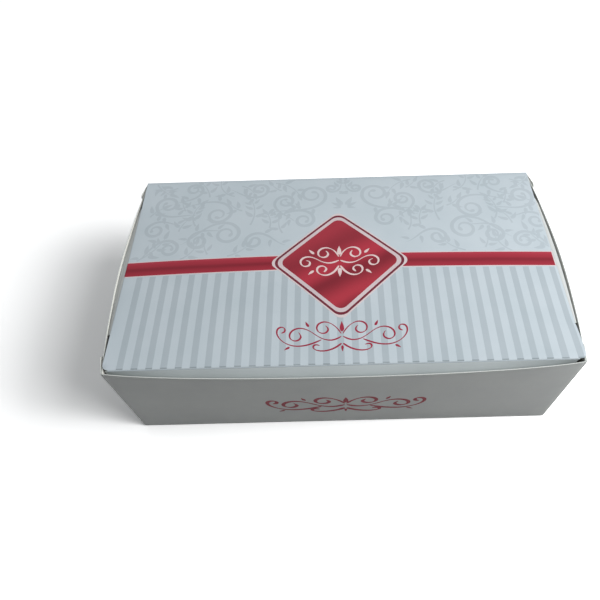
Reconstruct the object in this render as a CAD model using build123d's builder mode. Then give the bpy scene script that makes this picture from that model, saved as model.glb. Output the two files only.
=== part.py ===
from build123d import *
import math
import os

# A pastry box folded from one sheet of paperboard: a tray with glued corners, and a lid with a
# front tuck flap and two side ears, hinged on the crease along the top of the rear wall.
# Every panel between two creases is a piece of its own, and every crease is a round bead of
# pressed board between the panels that it joins.
# Lengths are in millimetres. X runs across the front, Y from front to rear and Z up.
# The origin is the centre of the base panel's underside.

# Driving dimensions of the whole box
board = 0.5
top_width = 250.0
top_depth = 144.0
box_height = 70.0
wall_taper = 3.4

# Creases and the air beside them
crease_radius = 0.3
panel_gap = 0.01
turning_gap = 0.05
glue_thickness = 0.1

# How far the walls and the lid have sprung away from flat
front_bow = 5.4
side_bow = 5.2
side_shoulder_bow = 3.6
side_haunch_bow = 2.1
lid_crown = 3.3

# Where the bows begin and how full they are
front_fullness = 80.0
side_flat_length = 14.0
side_shoulder = 30.0
side_haunch = 44.5

# Lid, tuck flap and ears
fold_inset = 1.5
lid_free_edge = 124.8
lid_corner_radius = 3.5
ear_crease_x = 123.9
ear_end_inset = 24.0
ear_depth = 30.0
ear_rear_slope = 30.0
ear_front_slope = 12.0
ear_corner_radius = 6.0
ear_lean = 9.0
tuck_half_width = 121.5
tuck_depth = 22.0
tuck_side_slope = 8.0
tuck_corner_radius = 12.0
tuck_lean = 5.0
tuck_start_gap = 0.06
# How far the flap's four control points stand outward and upward of the flat flap in its middle
tuck_belly = ((0.3, 0.15), (8.1, 2.8), (5.4, 3.9), (1.5, 2.6))

# Flaps glued on the outside of the side walls
flap_width = 14.0
flap_top_width = 11.5
flap_foot = 1.5
flap_glued_height = 46.0
flap_standoff = 2.2
glue_inset = 3.0
glue_foot = 18.0
glue_top = 43.0

# Heights and places that follow from them
half_depth = top_depth / 2
corner_crease_x = top_width / 2 - crease_radius
side_face_x = top_width / 2 - board - glue_thickness
fold_z = box_height - crease_radius
wall_top = box_height - 2 * crease_radius
wall_foot = 2 * crease_radius
hinge_y = half_depth - crease_radius
tuck_y = -half_depth + fold_inset + crease_radius
bezier_peak = 4 / 3


def lean(height):
    """How far a wall stands inside its top edge at a height."""
    return wall_taper * (1 - height / wall_top)


def make_bead(start, end):
    """A round crease between two points."""
    direction = Vector(end) - Vector(start)
    with BuildPart() as bead:
        with BuildSketch(Plane(origin=start, z_dir=direction)):
            Circle(crease_radius)
        extrude(amount=direction.length)
    return bead.part


def make_base():
    half_x = side_face_x - lean(0) - 2 * crease_radius - panel_gap
    half_y = half_depth - lean(0) - 2 * crease_radius - panel_gap
    with BuildPart() as base:
        with BuildSketch(Plane.XY):
            Rectangle(2 * half_x, 2 * half_y)
        extrude(amount=board)
    return base.part


def make_front_wall():
    """Straight at its foot and sprung outward along its top edge."""
    with BuildPart() as wall:
        for height, bow in ((wall_foot, 0.0), (wall_top, front_bow)):
            half_x = corner_crease_x - lean(height) - crease_radius - panel_gap
            outer_y = -half_depth + lean(height)
            inner_y = outer_y + board
            peak = bow * bezier_peak
            with BuildSketch(Plane.XY.offset(height)):
                with BuildLine():
                    outer = Bezier(
                        (-half_x, outer_y),
                        (-front_fullness, outer_y - peak),
                        (front_fullness, outer_y - peak),
                        (half_x, outer_y),
                    )
                    inner = Bezier(
                        (half_x, inner_y),
                        (front_fullness, inner_y - peak),
                        (-front_fullness, inner_y - peak),
                        (-half_x, inner_y),
                    )
                    Line(outer @ 1, inner @ 0)
                    Line(inner @ 1, outer @ 0)
                make_face()
        loft(ruled=True)
    return wall.part


def make_rear_wall():
    """Held straight by the hinge crease along its top."""
    with BuildPart() as wall:
        for height in (wall_foot, wall_top):
            half_x = corner_crease_x - lean(height) - crease_radius - panel_gap
            inner_y = half_depth - lean(height) - board
            with BuildSketch(Plane.XY.offset(height)):
                with Locations((0, inner_y)):
                    Rectangle(2 * half_x, board, align=(Align.CENTER, Align.MIN))
        loft(ruled=True)
    return wall.part


def make_right_wall():
    """Flat at both ends, where it is glued, and sprung outward between them."""
    bow_start = half_depth - side_flat_length
    with BuildPart() as wall:
        for side in (-1, 1):
            for height in (wall_foot, wall_top):
                outer_x = side_face_x - lean(height)
                end_y = half_depth - lean(height) - board - turning_gap
                with BuildSketch(Plane.XY.offset(height)):
                    with BuildLine():
                        Polyline(
                            (outer_x - board, side * bow_start),
                            (outer_x, side * bow_start),
                            (outer_x, side * end_y),
                            (outer_x - board, side * end_y),
                            close=True,
                        )
                    make_face()
            loft(ruled=True)
        for height, share in ((wall_foot, 0.0), (wall_top, 1.0)):
            outer_x = side_face_x - lean(height)
            inner_x = outer_x - board
            stations = (
                (-bow_start, 0.0),
                (-side_haunch, side_haunch_bow),
                (-side_shoulder, side_shoulder_bow),
                (0.0, side_bow),
                (side_shoulder, side_shoulder_bow),
                (side_haunch, side_haunch_bow),
                (bow_start, 0.0),
            )
            with BuildSketch(Plane.XY.offset(height)):
                with BuildLine():
                    outer = Spline(
                        [(outer_x + bow * share, y) for y, bow in stations],
                        tangents=((0, 1), (0, 1)),
                    )
                    inner = Spline(
                        [(inner_x + bow * share, -y) for y, bow in stations],
                        tangents=((0, -1), (0, -1)),
                    )
                    Line(outer @ 1, inner @ 0)
                    Line(inner @ 1, outer @ 0)
                make_face()
        loft(ruled=True)
    return wall.part


def make_strip(outer_gap, thickness, length, heights, standoffs):
    """A strip of sheet lying against the right wall at its rear corner, before it is cut out."""
    with BuildPart() as strip:
        for height, standoff in zip(heights, standoffs):
            inner_x = side_face_x - lean(height) + outer_gap
            end_y = half_depth - lean(height) - 2 * crease_radius - panel_gap
            with BuildSketch(Plane.XY.offset(height)):
                with BuildLine():
                    Polyline(
                        (inner_x, end_y),
                        (inner_x + thickness, end_y),
                        (inner_x + thickness + standoff, end_y - length),
                        (inner_x + standoff, end_y - length),
                        close=True,
                    )
                make_face()
        loft(ruled=True)
    return strip.part


def make_glue_flap():
    """The rear wall's flap on the right wall: its free upper corner has come away."""
    heights = (wall_foot, flap_glued_height, wall_top)
    standoffs = (0.0, 0.0, flap_standoff)
    strip = make_strip(glue_thickness, board, flap_width, heights, standoffs)
    beyond = half_depth + board
    with BuildPart() as flap:
        add(strip)
        with BuildSketch(Plane.YZ.offset(side_face_x - 2 * wall_taper)):
            with BuildLine():
                Polyline(
                    (beyond, wall_foot),
                    (half_depth - wall_taper, flap_foot),
                    (half_depth - wall_taper - flap_width, flap_foot + flap_width),
                    (half_depth - flap_width - crease_radius, flap_glued_height),
                    (half_depth - flap_top_width - crease_radius, wall_top),
                    (beyond, wall_top),
                    close=True,
                )
            make_face()
        extrude(amount=4 * wall_taper, mode=Mode.INTERSECT)
    return flap.part


def make_glue_patch():
    """The thin dry film that holds a flap to its side wall."""
    film = glue_thickness - 2 * panel_gap
    strip = make_strip(panel_gap, film, flap_width, (wall_foot, flap_glued_height), (0.0, 0.0))
    middle_y = half_depth - wall_taper - flap_width / 2
    with BuildPart() as patch:
        add(strip)
        with BuildSketch(Plane.YZ.offset(side_face_x - 2 * wall_taper)):
            with Locations((middle_y, (glue_foot + glue_top) / 2)):
                Rectangle(flap_width - 2 * glue_inset, glue_top - glue_foot)
        extrude(amount=4 * wall_taper, mode=Mode.INTERSECT)
    return patch.part


def make_lid_panel():
    """A sheet that is straight along its four folds and crowned in the middle."""
    rear_y = hinge_y - crease_radius - turning_gap
    front_y = tuck_y + crease_radius + panel_gap
    middle_y = (rear_y + front_y) / 2
    half_y = (rear_y - front_y) / 2
    upper_z = fold_z + board / 2
    # A sheet with straight edges whose middle control point is four times the crown
    rows = []
    for x in (-lid_free_edge, 0, lid_free_edge):
        row = []
        for y in (front_y, middle_y, rear_y):
            rise = 4 * lid_crown if x == 0 and y == middle_y else 0
            row.append((x, y, upper_z + rise))
        rows.append(row)
    crowned_face = Face.make_bezier_surface(rows)
    ear_edge_x = ear_crease_x - crease_radius - panel_gap
    ear_half_length = half_depth - ear_end_inset
    cut_width = 2 * (lid_free_edge - ear_edge_x)
    with BuildPart() as lid:
        extrude(crowned_face, amount=board, dir=(0, 0, -1))
        with BuildSketch(Plane.XY):
            with Locations((0, middle_y)):
                Rectangle(2 * lid_free_edge, 2 * half_y)
            with Locations((-lid_free_edge, 0), (lid_free_edge, 0)):
                Rectangle(cut_width, 2 * (ear_half_length + turning_gap), mode=Mode.SUBTRACT)
        extrude(amount=2 * box_height, mode=Mode.INTERSECT)
        front_corners = lid.edges().filter_by(Axis.Z).filter_by(
            lambda edge: abs(edge.center().X) > lid_free_edge - board
            and edge.center().Y < front_y + board
        )
        fillet(front_corners, lid_corner_radius)
    return lid.part


def make_tuck_flap():
    """Hangs inside the front wall and bellies out towards it, with rounded lower corners."""
    angle = math.radians(tuck_lean)
    start = crease_radius + tuck_start_gap
    steps = len(tuck_belly) - 1
    # A sheet that is flat along both sides and whose middle control points stand further out
    rows = []
    for x, fullness in (
        (-tuck_half_width, 0.0),
        (-front_fullness, bezier_peak),
        (front_fullness, bezier_peak),
        (tuck_half_width, 0.0),
    ):
        row = []
        for step, (outward, upward) in enumerate(tuck_belly):
            depth = start + (tuck_depth - start) * step / steps
            y = tuck_y + depth * math.sin(angle) - outward * fullness
            z = fold_z - depth * math.cos(angle) + upward * fullness
            row.append((x, y, z))
        rows.append(row)
    bellied_face = Face.make_bezier_surface(rows)
    tilt = math.tan(math.radians(tuck_side_slope))
    lower_half = tuck_half_width - tuck_depth * tilt
    upper_half = tuck_half_width + board * tilt
    with BuildPart() as flap:
        thicken(bellied_face, amount=board / 2, both=True)
        with BuildSketch(Plane.XZ):
            with BuildLine():
                FilletPolyline(
                    (-upper_half, fold_z + board),
                    (-lower_half, fold_z - tuck_depth),
                    (lower_half, fold_z - tuck_depth),
                    (upper_half, fold_z + board),
                    radius=tuck_corner_radius,
                )
                Line((upper_half, fold_z + board), (-upper_half, fold_z + board))
            make_face()
        extrude(amount=top_depth, both=True, mode=Mode.INTERSECT)
    return flap.part


def make_right_ear():
    """Hangs inside the right wall and is cut back towards the hinge, so that it swings clear."""
    angle = math.radians(ear_lean)
    hanging = Plane(
        origin=(ear_crease_x, 0, fold_z),
        x_dir=(0, 1, 0),
        z_dir=(math.cos(angle), 0, -math.sin(angle)),
    )
    start = crease_radius + panel_gap
    half_length = half_depth - ear_end_inset
    rear_run = ear_depth / math.tan(math.radians(ear_rear_slope))
    front_run = ear_depth * math.tan(math.radians(ear_front_slope))
    with BuildPart() as ear:
        with BuildSketch(hanging):
            with BuildLine():
                FilletPolyline(
                    (-half_length, -start),
                    (-half_length + front_run, -ear_depth),
                    (half_length - rear_run, -ear_depth),
                    (half_length, -start),
                    radius=ear_corner_radius,
                )
                Line((half_length, -start), (-half_length, -start))
            make_face()
        extrude(amount=board / 2, both=True)
    return ear.part


def save(part, name):
    part.label = name
    export_step(part, f"parts/{name}.step")


def save_pair(part, name, plane, mirrored_name):
    """Write a piece and its mirror image on the other side of a plane."""
    save(part, name)
    save(mirror(part, about=plane), mirrored_name)


os.makedirs("parts", exist_ok=True)

# The tray
save(make_base(), "base_panel")
save(make_front_wall(), "front_wall")
save(make_rear_wall(), "rear_wall")
save_pair(make_right_wall(), "right_wall", Plane.YZ, "left_wall")

# Creases round the base
base_crease_x = side_face_x - lean(0) - crease_radius
base_crease_y = half_depth - lean(0) - crease_radius
side_crease_end = base_crease_y - crease_radius - panel_gap
rear_base = make_bead(
    (-base_crease_x, base_crease_y, crease_radius),
    (base_crease_x, base_crease_y, crease_radius),
)
right_base = make_bead(
    (base_crease_x, -side_crease_end, crease_radius),
    (base_crease_x, side_crease_end, crease_radius),
)
save_pair(rear_base, "rear_base_crease", Plane.XZ, "front_base_crease")
save_pair(right_base, "right_base_crease", Plane.YZ, "left_base_crease")

# The four corners: a crease, a glue flap and its glue
corner_crease = make_bead(
    (corner_crease_x - lean(wall_foot), half_depth - crease_radius - lean(wall_foot), wall_foot),
    (corner_crease_x, half_depth - crease_radius, wall_top),
)
for piece, kind in (
    (corner_crease, "corner_crease"),
    (make_glue_flap(), "glue_flap"),
    (make_glue_patch(), "glue_patch"),
):
    save_pair(piece, f"rear_right_{kind}", Plane.YZ, f"rear_left_{kind}")
    front_piece = mirror(piece, about=Plane.XZ)
    save_pair(front_piece, f"front_right_{kind}", Plane.YZ, f"front_left_{kind}")

# The lid and what folds from it
hinge_end = top_width / 2
save(make_bead((-hinge_end, hinge_y, fold_z), (hinge_end, hinge_y, fold_z)), "lid_hinge_crease")
save(make_lid_panel(), "lid_panel")
tuck_crease = make_bead((-tuck_half_width, tuck_y, fold_z), (tuck_half_width, tuck_y, fold_z))
save(tuck_crease, "tuck_crease")
save(make_tuck_flap(), "tuck_flap")
ear_crease_end = half_depth - ear_end_inset
right_ear_crease = make_bead(
    (ear_crease_x, -ear_crease_end, fold_z),
    (ear_crease_x, ear_crease_end, fold_z),
)
save_pair(right_ear_crease, "right_ear_crease", Plane.YZ, "left_ear_crease")
save_pair(make_right_ear(), "right_ear", Plane.YZ, "left_ear")
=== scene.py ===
import bpy
import math
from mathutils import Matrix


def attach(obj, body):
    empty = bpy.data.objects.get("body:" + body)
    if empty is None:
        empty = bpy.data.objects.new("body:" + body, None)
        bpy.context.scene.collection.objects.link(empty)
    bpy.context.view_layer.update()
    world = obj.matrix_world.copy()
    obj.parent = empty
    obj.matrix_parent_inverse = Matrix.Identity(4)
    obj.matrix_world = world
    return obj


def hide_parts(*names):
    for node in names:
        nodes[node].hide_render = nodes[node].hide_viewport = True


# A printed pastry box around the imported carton: every panel gets a finer sheet of board with
# a printed face, a plain inside and a raw cut edge, and the print lies on it as thin ink films.
# Lengths in the dictionaries are millimetres, and mm turns them into metres.

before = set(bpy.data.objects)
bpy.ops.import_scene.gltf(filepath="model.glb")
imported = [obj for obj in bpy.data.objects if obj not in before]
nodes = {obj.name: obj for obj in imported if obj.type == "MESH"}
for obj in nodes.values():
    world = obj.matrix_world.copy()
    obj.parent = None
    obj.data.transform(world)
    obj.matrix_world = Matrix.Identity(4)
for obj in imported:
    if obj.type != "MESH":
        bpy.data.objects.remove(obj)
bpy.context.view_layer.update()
mm = 0.001
tiny, near = 0.01, 0.1  # millimetres, for telling where a point lies
print("frame loaded with", len(nodes), "nodes")

# The fold gap is how far a panel stops short of the outside of a fold.
carton = {
    "board": 0.5, "halfDepth": 72.0, "wallTaper": 3.4, "wallFoot": 0.6, "wallTop": 69.4,
    "foldZ": 69.7, "sideFaceX": 124.4, "frontHalfTop": 124.39, "foldGap": 0.61,
    "edgeRound": 0.07, "edgeAngle": 50.0, "smoothAngle": 35.0, "sheetCell": 4.0,
    "cutThreshold": 1e-7,
}


# Camera, lights and floor

camera = {
    "place": (-2.483, -222.61, 329.96),
    "turn": (0.64041, 0.023868, -0.016211),
    "lens": 34.973, "sensor": 36.0, "shiftX": -0.05103, "shiftY": 0.00056, "clipStart": 10.0,
}
studio = {
    "sunFrom": (0.75, -0.2, 0.61), "sunPower": 1.47, "sunAngle": 36.0,
    "sunPlace": (1000.0, 0.0, 1000.0), "keyPlace": (480.0, -130.0, 440.0), "keySize": 320.0,
    "keyPower": 2.0, "roomLow": 0.09, "roomHigh": 0.43, "roomBright": (0.0, 0.64, 0.77),
    "roomTint": (0.97, 0.99, 1.0, 1), "floorSize": 30000.0, "floorSeen": 1.74,
    "floorBounce": 0.15,
}


def addNode(tree, kind):
    return tree.nodes.new("ShaderNode" + kind)


def setCamera():
    bpy.ops.object.camera_add(
        location=[v * mm for v in camera["place"]], rotation=camera["turn"])
    eye = bpy.context.object
    eye.name = "photoCamera"
    eye.data.sensor_width = camera["sensor"]
    eye.data.lens = camera["lens"]
    eye.data.shift_x = camera["shiftX"]
    eye.data.shift_y = camera["shiftY"]
    eye.data.clip_start = camera["clipStart"] * mm
    bpy.context.scene.camera = eye
    bpy.context.scene.view_settings.view_transform = "Standard"


# Turns a lamp so that it shines from that direction towards the box.
def aimLamp(lamp, away):
    flat = math.hypot(away[0], away[1])
    lamp.rotation_euler = (math.atan2(flat, away[2]), 0, math.atan2(away[1], away[0]) + math.pi / 2)


def setLights():
    bpy.ops.object.light_add(type="AREA", location=[v * mm for v in studio["keyPlace"]])
    key = bpy.context.object
    key.name = "keyWindow"
    key.data.shape = "DISK"
    key.data.size = studio["keySize"] * mm
    key.data.energy = studio["keyPower"]
    aimLamp(key, studio["keyPlace"])
    bpy.ops.object.light_add(type="SUN", location=[v * mm for v in studio["sunPlace"]])
    sun = bpy.context.object
    sun.name = "softSun"
    sun.data.energy = studio["sunPower"]
    sun.data.angle = math.radians(studio["sunAngle"])
    aimLamp(sun, studio["sunFrom"])
    world = bpy.data.worlds.new("paleRoom")
    bpy.context.scene.world = world
    world.use_nodes = True
    tree = world.node_tree
    tree.nodes.clear()
    # The room is brightest overhead and towards the rear
    place = addNode(tree, "TexCoord")
    along = addNode(tree, "VectorMath")
    along.operation = "DOT_PRODUCT"
    along.inputs[1].default_value = studio["roomBright"]
    climb = addNode(tree, "MapRange")
    climb.inputs["To Min"].default_value = studio["roomLow"]
    climb.inputs["To Max"].default_value = studio["roomHigh"]
    room = addNode(tree, "Background")
    room.inputs["Color"].default_value = studio["roomTint"]
    white = addNode(tree, "Background")
    white.inputs["Color"].default_value = (1, 1, 1, 1)
    path = addNode(tree, "LightPath")
    mix = addNode(tree, "MixShader")
    out = addNode(tree, "OutputWorld")
    tree.links.new(place.outputs["Generated"], along.inputs[0])
    tree.links.new(along.outputs["Value"], climb.inputs["Value"])
    tree.links.new(climb.outputs["Result"], room.inputs["Strength"])
    tree.links.new(path.outputs["Is Camera Ray"], mix.inputs[0])
    tree.links.new(room.outputs[0], mix.inputs[1])
    tree.links.new(white.outputs[0], mix.inputs[2])
    tree.links.new(mix.outputs[0], out.inputs[0])


# The floor looks white to the camera and in gloss, but throws little light back on the box.
def setFloor():
    bpy.ops.mesh.primitive_plane_add(size=studio["floorSize"] * mm, location=(0, 0, 0))
    floor = bpy.context.object
    floor.name = "paleFloor"
    paint = bpy.data.materials.new("paleFloorPaint")
    paint.use_nodes = True
    tree = paint.node_tree
    tree.nodes.clear()
    path = addNode(tree, "LightPath")
    plain = addNode(tree, "BsdfDiffuse")
    plain.inputs["Color"].default_value = (studio["floorBounce"],) * 3 + (1,)
    seen = addNode(tree, "BsdfDiffuse")
    seen.inputs["Color"].default_value = (studio["floorSeen"],) * 3 + (1,)
    orGlossy = addNode(tree, "Math")
    orGlossy.operation = "MAXIMUM"
    orClear = addNode(tree, "Math")
    orClear.operation = "MAXIMUM"
    mix = addNode(tree, "MixShader")
    out = addNode(tree, "OutputMaterial")
    tree.links.new(path.outputs["Is Camera Ray"], orGlossy.inputs[0])
    tree.links.new(path.outputs["Is Glossy Ray"], orGlossy.inputs[1])
    tree.links.new(orGlossy.outputs[0], orClear.inputs[0])
    tree.links.new(path.outputs["Is Transmission Ray"], orClear.inputs[1])
    tree.links.new(orClear.outputs[0], mix.inputs[0])
    tree.links.new(plain.outputs[0], mix.inputs[1])
    tree.links.new(seen.outputs[0], mix.inputs[2])
    tree.links.new(mix.outputs[0], out.inputs[0])
    floor.data.materials.append(paint)


setCamera()
setLights()
setFloor()
print("camera, lights and floor are set")


# Materials

# Scale, detail and roughness of each noise.
noises = {
    "cloud": (45.0, 4.0, 0.55),
    "fibre": (900.0, 5.0, 0.65),
    "insideFibre": (700.0, 5.0, 0.65),
    "flecks": (1600.0, 6.0, 0.7),
    "layers": (2600.0, 4.0, 0.6),
    "sheen": (28.0, 2.0, 0.5),
}
softStops = (0.35, 0.65)  # where a clouded ramp starts and ends
# How each family of materials looks; depths are millimetres.
boardLook = {"glossLow": -0.06, "glossHigh": 0.08, "depth": 0.02}
creaseLook = {"roughness": 0.5, "specular": 0.35, "spread": 0.12, "bump": 0.4, "depth": 0.04}
edgeLook = {"roughness": 0.85, "specular": 0.2, "bump": 0.5, "depth": 0.05}
satinLook = {"roughness": 0.38, "specular": 0.45, "drift": 0.16, "bump": 0.2, "depth": 0.02}


# sRGB numbers from 0 to 255 as a linear colour.
def tone(red, green, blue):
    def linear(v):
        v = v / 255
        return v / 12.92 if v <= 0.04045 else ((v + 0.055) / 1.055) ** 2.4
    return (linear(red), linear(green), linear(blue), 1)


def startMaterial(name, roughness, specular):
    paint = bpy.data.materials.new(name)
    paint.use_nodes = True
    tree = paint.node_tree
    shader = tree.nodes["Principled BSDF"]
    shader.inputs["Roughness"].default_value = roughness
    shader.inputs["Specular IOR Level"].default_value = specular
    return paint, tree, shader


def addNoise(tree, kind):
    scale, detail, roughness = noises[kind]
    place = addNode(tree, "TexCoord")
    noise = addNode(tree, "TexNoise")
    noise.inputs["Scale"].default_value = scale
    noise.inputs["Detail"].default_value = detail
    noise.inputs["Roughness"].default_value = roughness
    tree.links.new(place.outputs["Object"], noise.inputs["Vector"])
    return noise


# Colours the shader with a ramp that a value drives.
def addRamp(tree, shader, factor, stops):
    ramp = addNode(tree, "ValToRGB")
    for end, (at, colour) in zip(ramp.color_ramp.elements, (stops[0], stops[-1])):
        end.position, end.color = at, tone(*colour)
    for at, colour in stops[1:-1]:
        ramp.color_ramp.elements.new(at).color = tone(*colour)
    tree.links.new(factor, ramp.inputs["Fac"])
    tree.links.new(ramp.outputs["Color"], shader.inputs["Base Color"])
    return ramp


def addBump(tree, shader, height, strength, depth):
    bump = addNode(tree, "Bump")
    bump.inputs["Strength"].default_value = strength
    bump.inputs["Distance"].default_value = depth * mm
    tree.links.new(height, bump.inputs["Height"])
    tree.links.new(bump.outputs["Normal"], shader.inputs["Normal"])


# Board under ink or varnish: faint clouding, and fine fibre in its gloss and surface.
def boardMaterial(name, first, second, roughness, specular, fibre="fibre", grain=0.25):
    paint, tree, shader = startMaterial(name, roughness, specular)
    cloud = addNoise(tree, "cloud")
    addRamp(tree, shader, cloud.outputs["Fac"], tuple(zip(softStops, (first, second))))
    fine = addNoise(tree, fibre)
    gloss = addNode(tree, "MapRange")
    gloss.inputs["To Min"].default_value = roughness + boardLook["glossLow"]
    gloss.inputs["To Max"].default_value = roughness + boardLook["glossHigh"]
    tree.links.new(fine.outputs["Fac"], gloss.inputs["Value"])
    tree.links.new(gloss.outputs["Result"], shader.inputs["Roughness"])
    addBump(tree, shader, fine.outputs["Fac"], grain, boardLook["depth"])
    return paint


# A pressed fold whose ink has cracked along the ridge in fine white flecks.
def creaseMaterial(name, printed, bare, wear):
    paint, tree, shader = startMaterial(name, creaseLook["roughness"], creaseLook["specular"])
    flecks = addNoise(tree, "flecks")
    stops = ((wear, printed), (wear + creaseLook["spread"], bare))
    addRamp(tree, shader, flecks.outputs["Fac"], stops)
    addBump(tree, shader, flecks.outputs["Fac"], creaseLook["bump"], creaseLook["depth"])
    return paint


# The raw cut edge: pale layers of fibre.
def edgeMaterial(name, first, second):
    paint, tree, shader = startMaterial(name, edgeLook["roughness"], edgeLook["specular"])
    layers = addNoise(tree, "layers")
    addRamp(tree, shader, layers.outputs["Fac"], tuple(zip(softStops, (first, second))))
    addBump(tree, shader, layers.outputs["Fac"], edgeLook["bump"], edgeLook["depth"])
    return paint


# Printed satin: soft bright and dark folds that run across the piece.
def satinMaterial(name, stops, turn, span):
    paint, tree, shader = startMaterial(name, satinLook["roughness"], satinLook["specular"])
    place = addNode(tree, "TexCoord")
    mapping = addNode(tree, "Mapping")
    mapping.inputs["Rotation"].default_value = (0, 0, turn)
    tree.links.new(place.outputs["Object"], mapping.inputs["Vector"])
    split = addNode(tree, "SeparateXYZ")
    tree.links.new(mapping.outputs["Vector"], split.inputs["Vector"])
    spread = addNode(tree, "MapRange")
    spread.inputs["From Min"].default_value = span[0] * mm
    spread.inputs["From Max"].default_value = span[1] * mm
    tree.links.new(split.outputs["Y"], spread.inputs["Value"])
    soft = addNoise(tree, "sheen")
    lift = addNode(tree, "Math")
    lift.operation = "MULTIPLY_ADD"
    lift.inputs[1].default_value = satinLook["drift"]
    tree.links.new(soft.outputs["Fac"], lift.inputs[0])
    tree.links.new(spread.outputs["Result"], lift.inputs[2])
    ramp = addRamp(tree, shader, lift.outputs["Value"], stops)
    ramp.color_ramp.interpolation = "EASE"
    fine = addNoise(tree, "fibre")
    addBump(tree, shader, fine.outputs["Fac"], satinLook["bump"], satinLook["depth"])
    return paint


# Two colours, roughness and specular, and for the inside its own fibre and how rough it is.
boardPaints = {
    "lidInk": ((200, 212, 219), (205, 216, 223), 0.42, 0.42),
    "plainInk": ((186, 194, 196), (191, 199, 201), 0.44, 0.4),
    "earInk": ((200, 204, 203), (206, 210, 208), 0.44, 0.4),
    # The walls' print is the same pale board print as the lid's and ears', painted darker here:
    # painted shade for the shade the walls stand in.
    "wallInkPaintedShade": ((176, 180, 179), (182, 186, 184), 0.44, 0.4),
    "shadowInk": ((181, 193, 200), (186, 197, 204), 0.42, 0.42),
    "scrollInk": ((188, 200, 207), (193, 204, 211), 0.42, 0.42),
    # Painted shade: the stripes where they run over the front fold, darker than the stripes to
    # stand in for the fold's shade.
    "foldShadeTone": ((150, 162, 168), (160, 171, 177), 0.45, 0.4),
    "insideBoard": ((220, 220, 215), (225, 225, 220), 0.8, 0.2, "insideFibre", 0.5),
    "dryGlue": ((218, 212, 190), (226, 220, 201), 0.5, 0.4),
    "paleLine": ((222, 208, 210), (228, 215, 216), 0.42, 0.42),
    "silverBand": ((212, 196, 200), (222, 207, 210), 0.36, 0.5),
    "darkLine": ((112, 36, 52), (126, 42, 58), 0.4, 0.42),
    "redPen": ((160, 42, 66), (172, 50, 74), 0.42, 0.42),
    "wallPen": ((126, 20, 38), (138, 26, 46), 0.56, 0.2),
    "silverInk": ((232, 207, 206), (241, 220, 218), 0.34, 0.5),
}
paints = {name: boardMaterial(name, *look) for name, look in boardPaints.items()}
paints["rawEdge"] = edgeMaterial("rawEdge", (206, 211, 207), (224, 228, 225))
paints["lidFold"] = creaseMaterial("lidFold", (190, 201, 208), (226, 230, 230), 0.58)
paints["wallFold"] = creaseMaterial("wallFold", (186, 190, 188), (222, 224, 221), 0.6)
paints["ribbonSatin"] = satinMaterial("ribbonSatin", [
    (0.10, (178, 50, 68)), (0.34, (162, 38, 56)), (0.55, (140, 28, 46)),
    (0.78, (168, 42, 60)), (1.0, (182, 54, 72))], 0.0, (-8.9, 2.9))
paints["badgeSatin"] = satinMaterial("badgeSatin", [
    (0.16, (150, 38, 54)), (0.25, (184, 52, 68)), (0.437, (136, 30, 46)),
    (0.573, (186, 50, 68)), (0.747, (150, 38, 54)), (0.93, (172, 48, 64))],
    -0.507, (-38.0, 32.0))
print("materials are mixed:", len(paints))


# Helpers for modelling

def leaveEdit():
    bpy.ops.object.mode_set(mode="OBJECT")


def deselectAll():
    if bpy.context.object and bpy.context.object.mode != "OBJECT":
        leaveEdit()
    bpy.ops.object.select_all(action="DESELECT")


def pick(piece):
    deselectAll()
    piece.select_set(True)
    bpy.context.view_layer.objects.active = piece


# A flat rectangle between those bounds, with its place kept in its mesh.
def addFlatSheet(name, lowX, highX, lowY, highY):
    deselectAll()
    bpy.ops.mesh.primitive_plane_add(
        size=1, location=((lowX + highX) / 2 * mm, (lowY + highY) / 2 * mm, 0))
    sheet = bpy.context.object
    sheet.name = name
    sheet.scale = ((highX - lowX) * mm, (highY - lowY) * mm, 1)
    bpy.ops.object.transform_apply(location=True, rotation=True, scale=True)
    return sheet


def editAll(sheet):
    pick(sheet)
    bpy.ops.object.mode_set(mode="EDIT")
    bpy.ops.mesh.select_all(action="SELECT")


# Edit mode with the points or faces selected that pass the test, which gets millimetres.
def editSome(sheet, kind, test):
    pick(sheet)
    bpy.ops.object.mode_set(mode="EDIT")
    bpy.ops.mesh.select_mode(type=kind)
    bpy.ops.mesh.select_all(action="DESELECT")
    leaveEdit()
    if kind == "FACE":
        for face in sheet.data.polygons:
            face.select = test(face.center.x / mm, face.center.y / mm)
    else:
        for point in sheet.data.vertices:
            point.select = test(point.co.x / mm, point.co.y / mm)
    bpy.ops.object.mode_set(mode="EDIT")


def roundCorners(sheet, test, radius, segments):
    editSome(sheet, "VERT", test)
    bpy.ops.mesh.bevel(affect="VERTICES", offset=radius * mm, segments=segments, profile=0.5)
    leaveEdit()


# Bisects the sheet; with keepInside what lies beyond the line falls away.
def cutSheet(sheet, through, normal, keepInside=False):
    length = math.hypot(normal[0], normal[1])
    editAll(sheet)
    bpy.ops.mesh.bisect(
        plane_co=(through[0] * mm, through[1] * mm, 0),
        plane_no=(normal[0] / length, normal[1] / length, 0),
        clear_outer=keepInside, threshold=carton["cutThreshold"])
    leaveEdit()


# Cuts the sheet into cells small enough to take a bow.
def gridCuts(sheet, cell=None, axes=(0, 1)):
    cell = cell or carton["sheetCell"]
    for axis in axes:
        places = [point.co[axis] / mm for point in sheet.data.vertices]
        low, high = min(places), max(places)
        steps = max(1, round((high - low) / cell))
        for step in range(1, steps):
            place = low + (high - low) * step / steps
            through = (place, 0) if axis == 0 else (0, place)
            cutSheet(sheet, through, (1, 0) if axis == 0 else (0, 1))


# Moves every point of a flat sheet to its place on the folded box.
def shapeSheet(sheet, place):
    for point in sheet.data.vertices:
        x, y, z = place(point.co.x / mm, point.co.y / mm)
        point.co = (x * mm, y * mm, z * mm)
    sheet.data.update()


def turnOver(sheet):
    editAll(sheet)
    bpy.ops.mesh.flip_normals()
    leaveEdit()


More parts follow.
